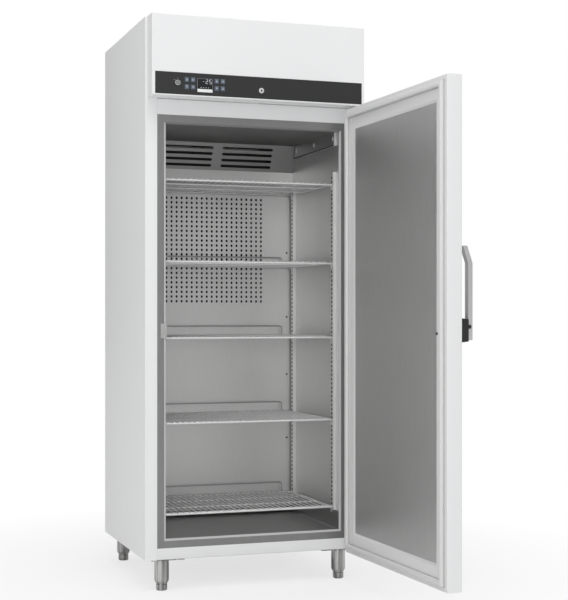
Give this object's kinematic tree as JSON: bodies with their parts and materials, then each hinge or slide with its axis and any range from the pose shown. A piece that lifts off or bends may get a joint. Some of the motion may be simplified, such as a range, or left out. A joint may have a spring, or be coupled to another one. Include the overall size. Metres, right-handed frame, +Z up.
{
  "type": "upright laboratory freezer",
  "caption": "Upright white laboratory freezer with its door open, steel chamber, wire shelves, control strip and levelling feet",
  "frame": {"origin": "on the floor, in the middle of the four feet", "axes": "+X towards the hinge side, +Y towards the back, +Z up"},
  "size_m": [0.8591, 1.4974, 1.979],
  "materials": {
    "white_enamel": "satin white powder coat",
    "steel": "brushed stainless steel",
    "bright": "bright plated wire",
    "zinc": "zinc plated sheet",
    "aluminium": "mill finish",
    "black_panel": "satin black",
    "key_blue": "soft blue-grey",
    "window": "dark tinted",
    "black": "satin black",
    "frame_white": "satin off-white",
    "gasket": "soft light grey",
    "foam": "rigid insulating foam",
    "pot": "gloss black",
    "copper": "bare copper"
  },
  "bodies": {
    "cabinet": {"outer_casing": "white_enamel", "base_panel": "white_enamel", "machine_deck": "white_enamel", "top_cover": "white_enamel", "rear_grille": "white_enamel", "cabinet_insulation": "foam", "inner_liner": "steel", "front_collar": "steel", "collar_trim": "frame_white", "top_fascia": "white_enamel", "control_strip": "black_panel", "display_window": "window", "lock_case": "zinc", "louvred_cover": "steel", "ceiling_rails": "steel", "evaporator_coil": "aluminium", "fan_plate": "zinc", "duct_panel": "steel", "shelf_standards": "steel", "shelf_clips": "bright", "leg_sockets": "steel", "hinge_brackets": "steel", "keeper_plate": "steel", "compressor": "pot", "condenser_coil": "aluminium", "condenser_shroud": "zinc", "refrigerant_pipes": "copper", "mains_inlet": "black"},
    "door": {"door_shell": "white_enamel", "door_insulation": "foam", "door_frame": "frame_white", "door_gasket": "gasket", "door_inner_panel": "steel", "handle_base": "black"},
    "lever": {"handle_lever": "steel"},
    "plunger": {"handle_plunger": "bright"},
    "main_switch": {"switch_barrel": "bright"},
    "lock": {"lock_barrel": "bright"},
    "bolt": {"lock_bolt": "zinc"},
    "key_1_cap": {"key_1": "key_blue"},
    "key_2_cap": {"key_2": "key_blue"},
    "key_3_cap": {"key_3": "key_blue"},
    "key_4_cap": {"key_4": "key_blue"},
    "key_5_cap": {"key_5": "key_blue"},
    "key_6_cap": {"key_6": "key_blue"},
    "key_7_cap": {"key_7": "key_blue"},
    "key_8_cap": {"key_8": "key_blue"},
    "shelf_1_body": {"shelf_1": "bright"},
    "shelf_2_body": {"shelf_2": "bright"},
    "shelf_3_body": {"shelf_3": "bright"},
    "shelf_4_body": {"shelf_4": "bright"},
    "shelf_5_body": {"shelf_5": "bright"},
    "foot_front_left_body": {"foot_front_left": "steel"},
    "foot_front_right_body": {"foot_front_right": "steel"},
    "foot_rear_left_body": {"foot_rear_left": "steel"},
    "foot_rear_right_body": {"foot_rear_right": "steel"},
    "evaporator_rotor_left": {"evaporator_fan_left": "black"},
    "evaporator_rotor_right": {"evaporator_fan_right": "black"},
    "condenser_rotor": {"condenser_fan": "black"}
  },
  "joints": [
    {"name": "door_hinge", "type": "hinge", "parent": "cabinet", "child": "door", "pos_m": [0.372, -0.3965, 0.1055], "axis": [0, 0, 1], "range_deg": [-91.5, 23.5]},
    {"name": "handle_pivot", "type": "hinge", "parent": "door", "child": "lever", "pos_m": [0.45316, -1.08911, 0.917], "axis": [-0.0262, 0.9997, 0], "range_deg": [0, 20], "stiffness_Nm_per_rad": 0.6, "springref_deg": -11.46},
    {"name": "plunger_slide", "type": "slide", "parent": "door", "child": "plunger", "axis": [-0.9997, -0.0262, 0], "range_m": [0, 0.0096]},
    {"name": "switch_turn", "type": "hinge", "parent": "cabinet", "child": "main_switch", "pos_m": [-0.298, -0.4078, 1.746], "axis": [0, 1, 0], "range_deg": [0, 90]},
    {"name": "lock_turn", "type": "hinge", "parent": "cabinet", "child": "lock", "pos_m": [0.002, -0.4078, 1.7347], "axis": [0, 1, 0], "range_deg": [0, 91]},
    {"name": "bolt_slide", "type": "slide", "parent": "cabinet", "child": "bolt", "axis": [0, 0, -1], "range_m": [0, 0.02]},
    {"name": "key_1_press", "type": "slide", "parent": "cabinet", "child": "key_1_cap", "axis": [0, 1, 0], "range_m": [0, 0.0008], "stiffness_N_per_m": 800},
    {"name": "key_2_press", "type": "slide", "parent": "cabinet", "child": "key_2_cap", "axis": [0, 1, 0], "range_m": [0, 0.0008], "stiffness_N_per_m": 800},
    {"name": "key_3_press", "type": "slide", "parent": "cabinet", "child": "key_3_cap", "axis": [0, 1, 0], "range_m": [0, 0.0008], "stiffness_N_per_m": 800},
    {"name": "key_4_press", "type": "slide", "parent": "cabinet", "child": "key_4_cap", "axis": [0, 1, 0], "range_m": [0, 0.0008], "stiffness_N_per_m": 800},
    {"name": "key_5_press", "type": "slide", "parent": "cabinet", "child": "key_5_cap", "axis": [0, 1, 0], "range_m": [0, 0.0008], "stiffness_N_per_m": 800},
    {"name": "key_6_press", "type": "slide", "parent": "cabinet", "child": "key_6_cap", "axis": [0, 1, 0], "range_m": [0, 0.0008], "stiffness_N_per_m": 800},
    {"name": "key_7_press", "type": "slide", "parent": "cabinet", "child": "key_7_cap", "axis": [0, 1, 0], "range_m": [0, 0.0008], "stiffness_N_per_m": 800},
    {"name": "key_8_press", "type": "slide", "parent": "cabinet", "child": "key_8_cap", "axis": [0, 1, 0], "range_m": [0, 0.0008], "stiffness_N_per_m": 800},
    {"name": "shelf_1_slide", "type": "slide", "parent": "cabinet", "child": "shelf_1_body", "axis": [0, -1, 0], "range_m": [0, 0.4]},
    {"name": "shelf_2_slide", "type": "slide", "parent": "cabinet", "child": "shelf_2_body", "axis": [0, -1, 0], "range_m": [0, 0.4]},
    {"name": "shelf_3_slide", "type": "slide", "parent": "cabinet", "child": "shelf_3_body", "axis": [0, -1, 0], "range_m": [0, 0.4]},
    {"name": "shelf_4_slide", "type": "slide", "parent": "cabinet", "child": "shelf_4_body", "axis": [0, -1, 0], "range_m": [0, 0.4]},
    {"name": "shelf_5_slide", "type": "slide", "parent": "cabinet", "child": "shelf_5_body", "axis": [0, -1, 0], "range_m": [0, 0.4]},
    {"name": "foot_front_left_screw", "type": "slide", "parent": "cabinet", "child": "foot_front_left_body", "axis": [0, 0, -1], "range_m": [0, 0.025]},
    {"name": "foot_front_right_screw", "type": "slide", "parent": "cabinet", "child": "foot_front_right_body", "axis": [0, 0, -1], "range_m": [0, 0.025]},
    {"name": "foot_rear_left_screw", "type": "slide", "parent": "cabinet", "child": "foot_rear_left_body", "axis": [0, 0, -1], "range_m": [0, 0.025]},
    {"name": "foot_rear_right_screw", "type": "slide", "parent": "cabinet", "child": "foot_rear_right_body", "axis": [0, 0, -1], "range_m": [0, 0.025]},
    {"name": "evaporator_fan_left_spin", "type": "hinge", "parent": "cabinet", "child": "evaporator_rotor_left", "pos_m": [-0.13, 0.2205, 1.43], "axis": [0, 0, 1], "continuous": true},
    {"name": "evaporator_fan_right_spin", "type": "hinge", "parent": "cabinet", "child": "evaporator_rotor_right", "pos_m": [0.13, 0.2205, 1.43], "axis": [0, 0, 1], "continuous": true},
    {"name": "condenser_fan_spin", "type": "hinge", "parent": "cabinet", "child": "condenser_rotor", "pos_m": [-0.13, 0.065, 1.815], "axis": [0, 1, 0], "continuous": true}
  ],
  "couplings": [
    {"joint": "plunger_slide", "follows": "handle_pivot", "m_per_rad": 0.02693},
    {"joint": "lock_turn", "follows": "bolt_slide", "rad_per_m": 78.5}
  ]
}
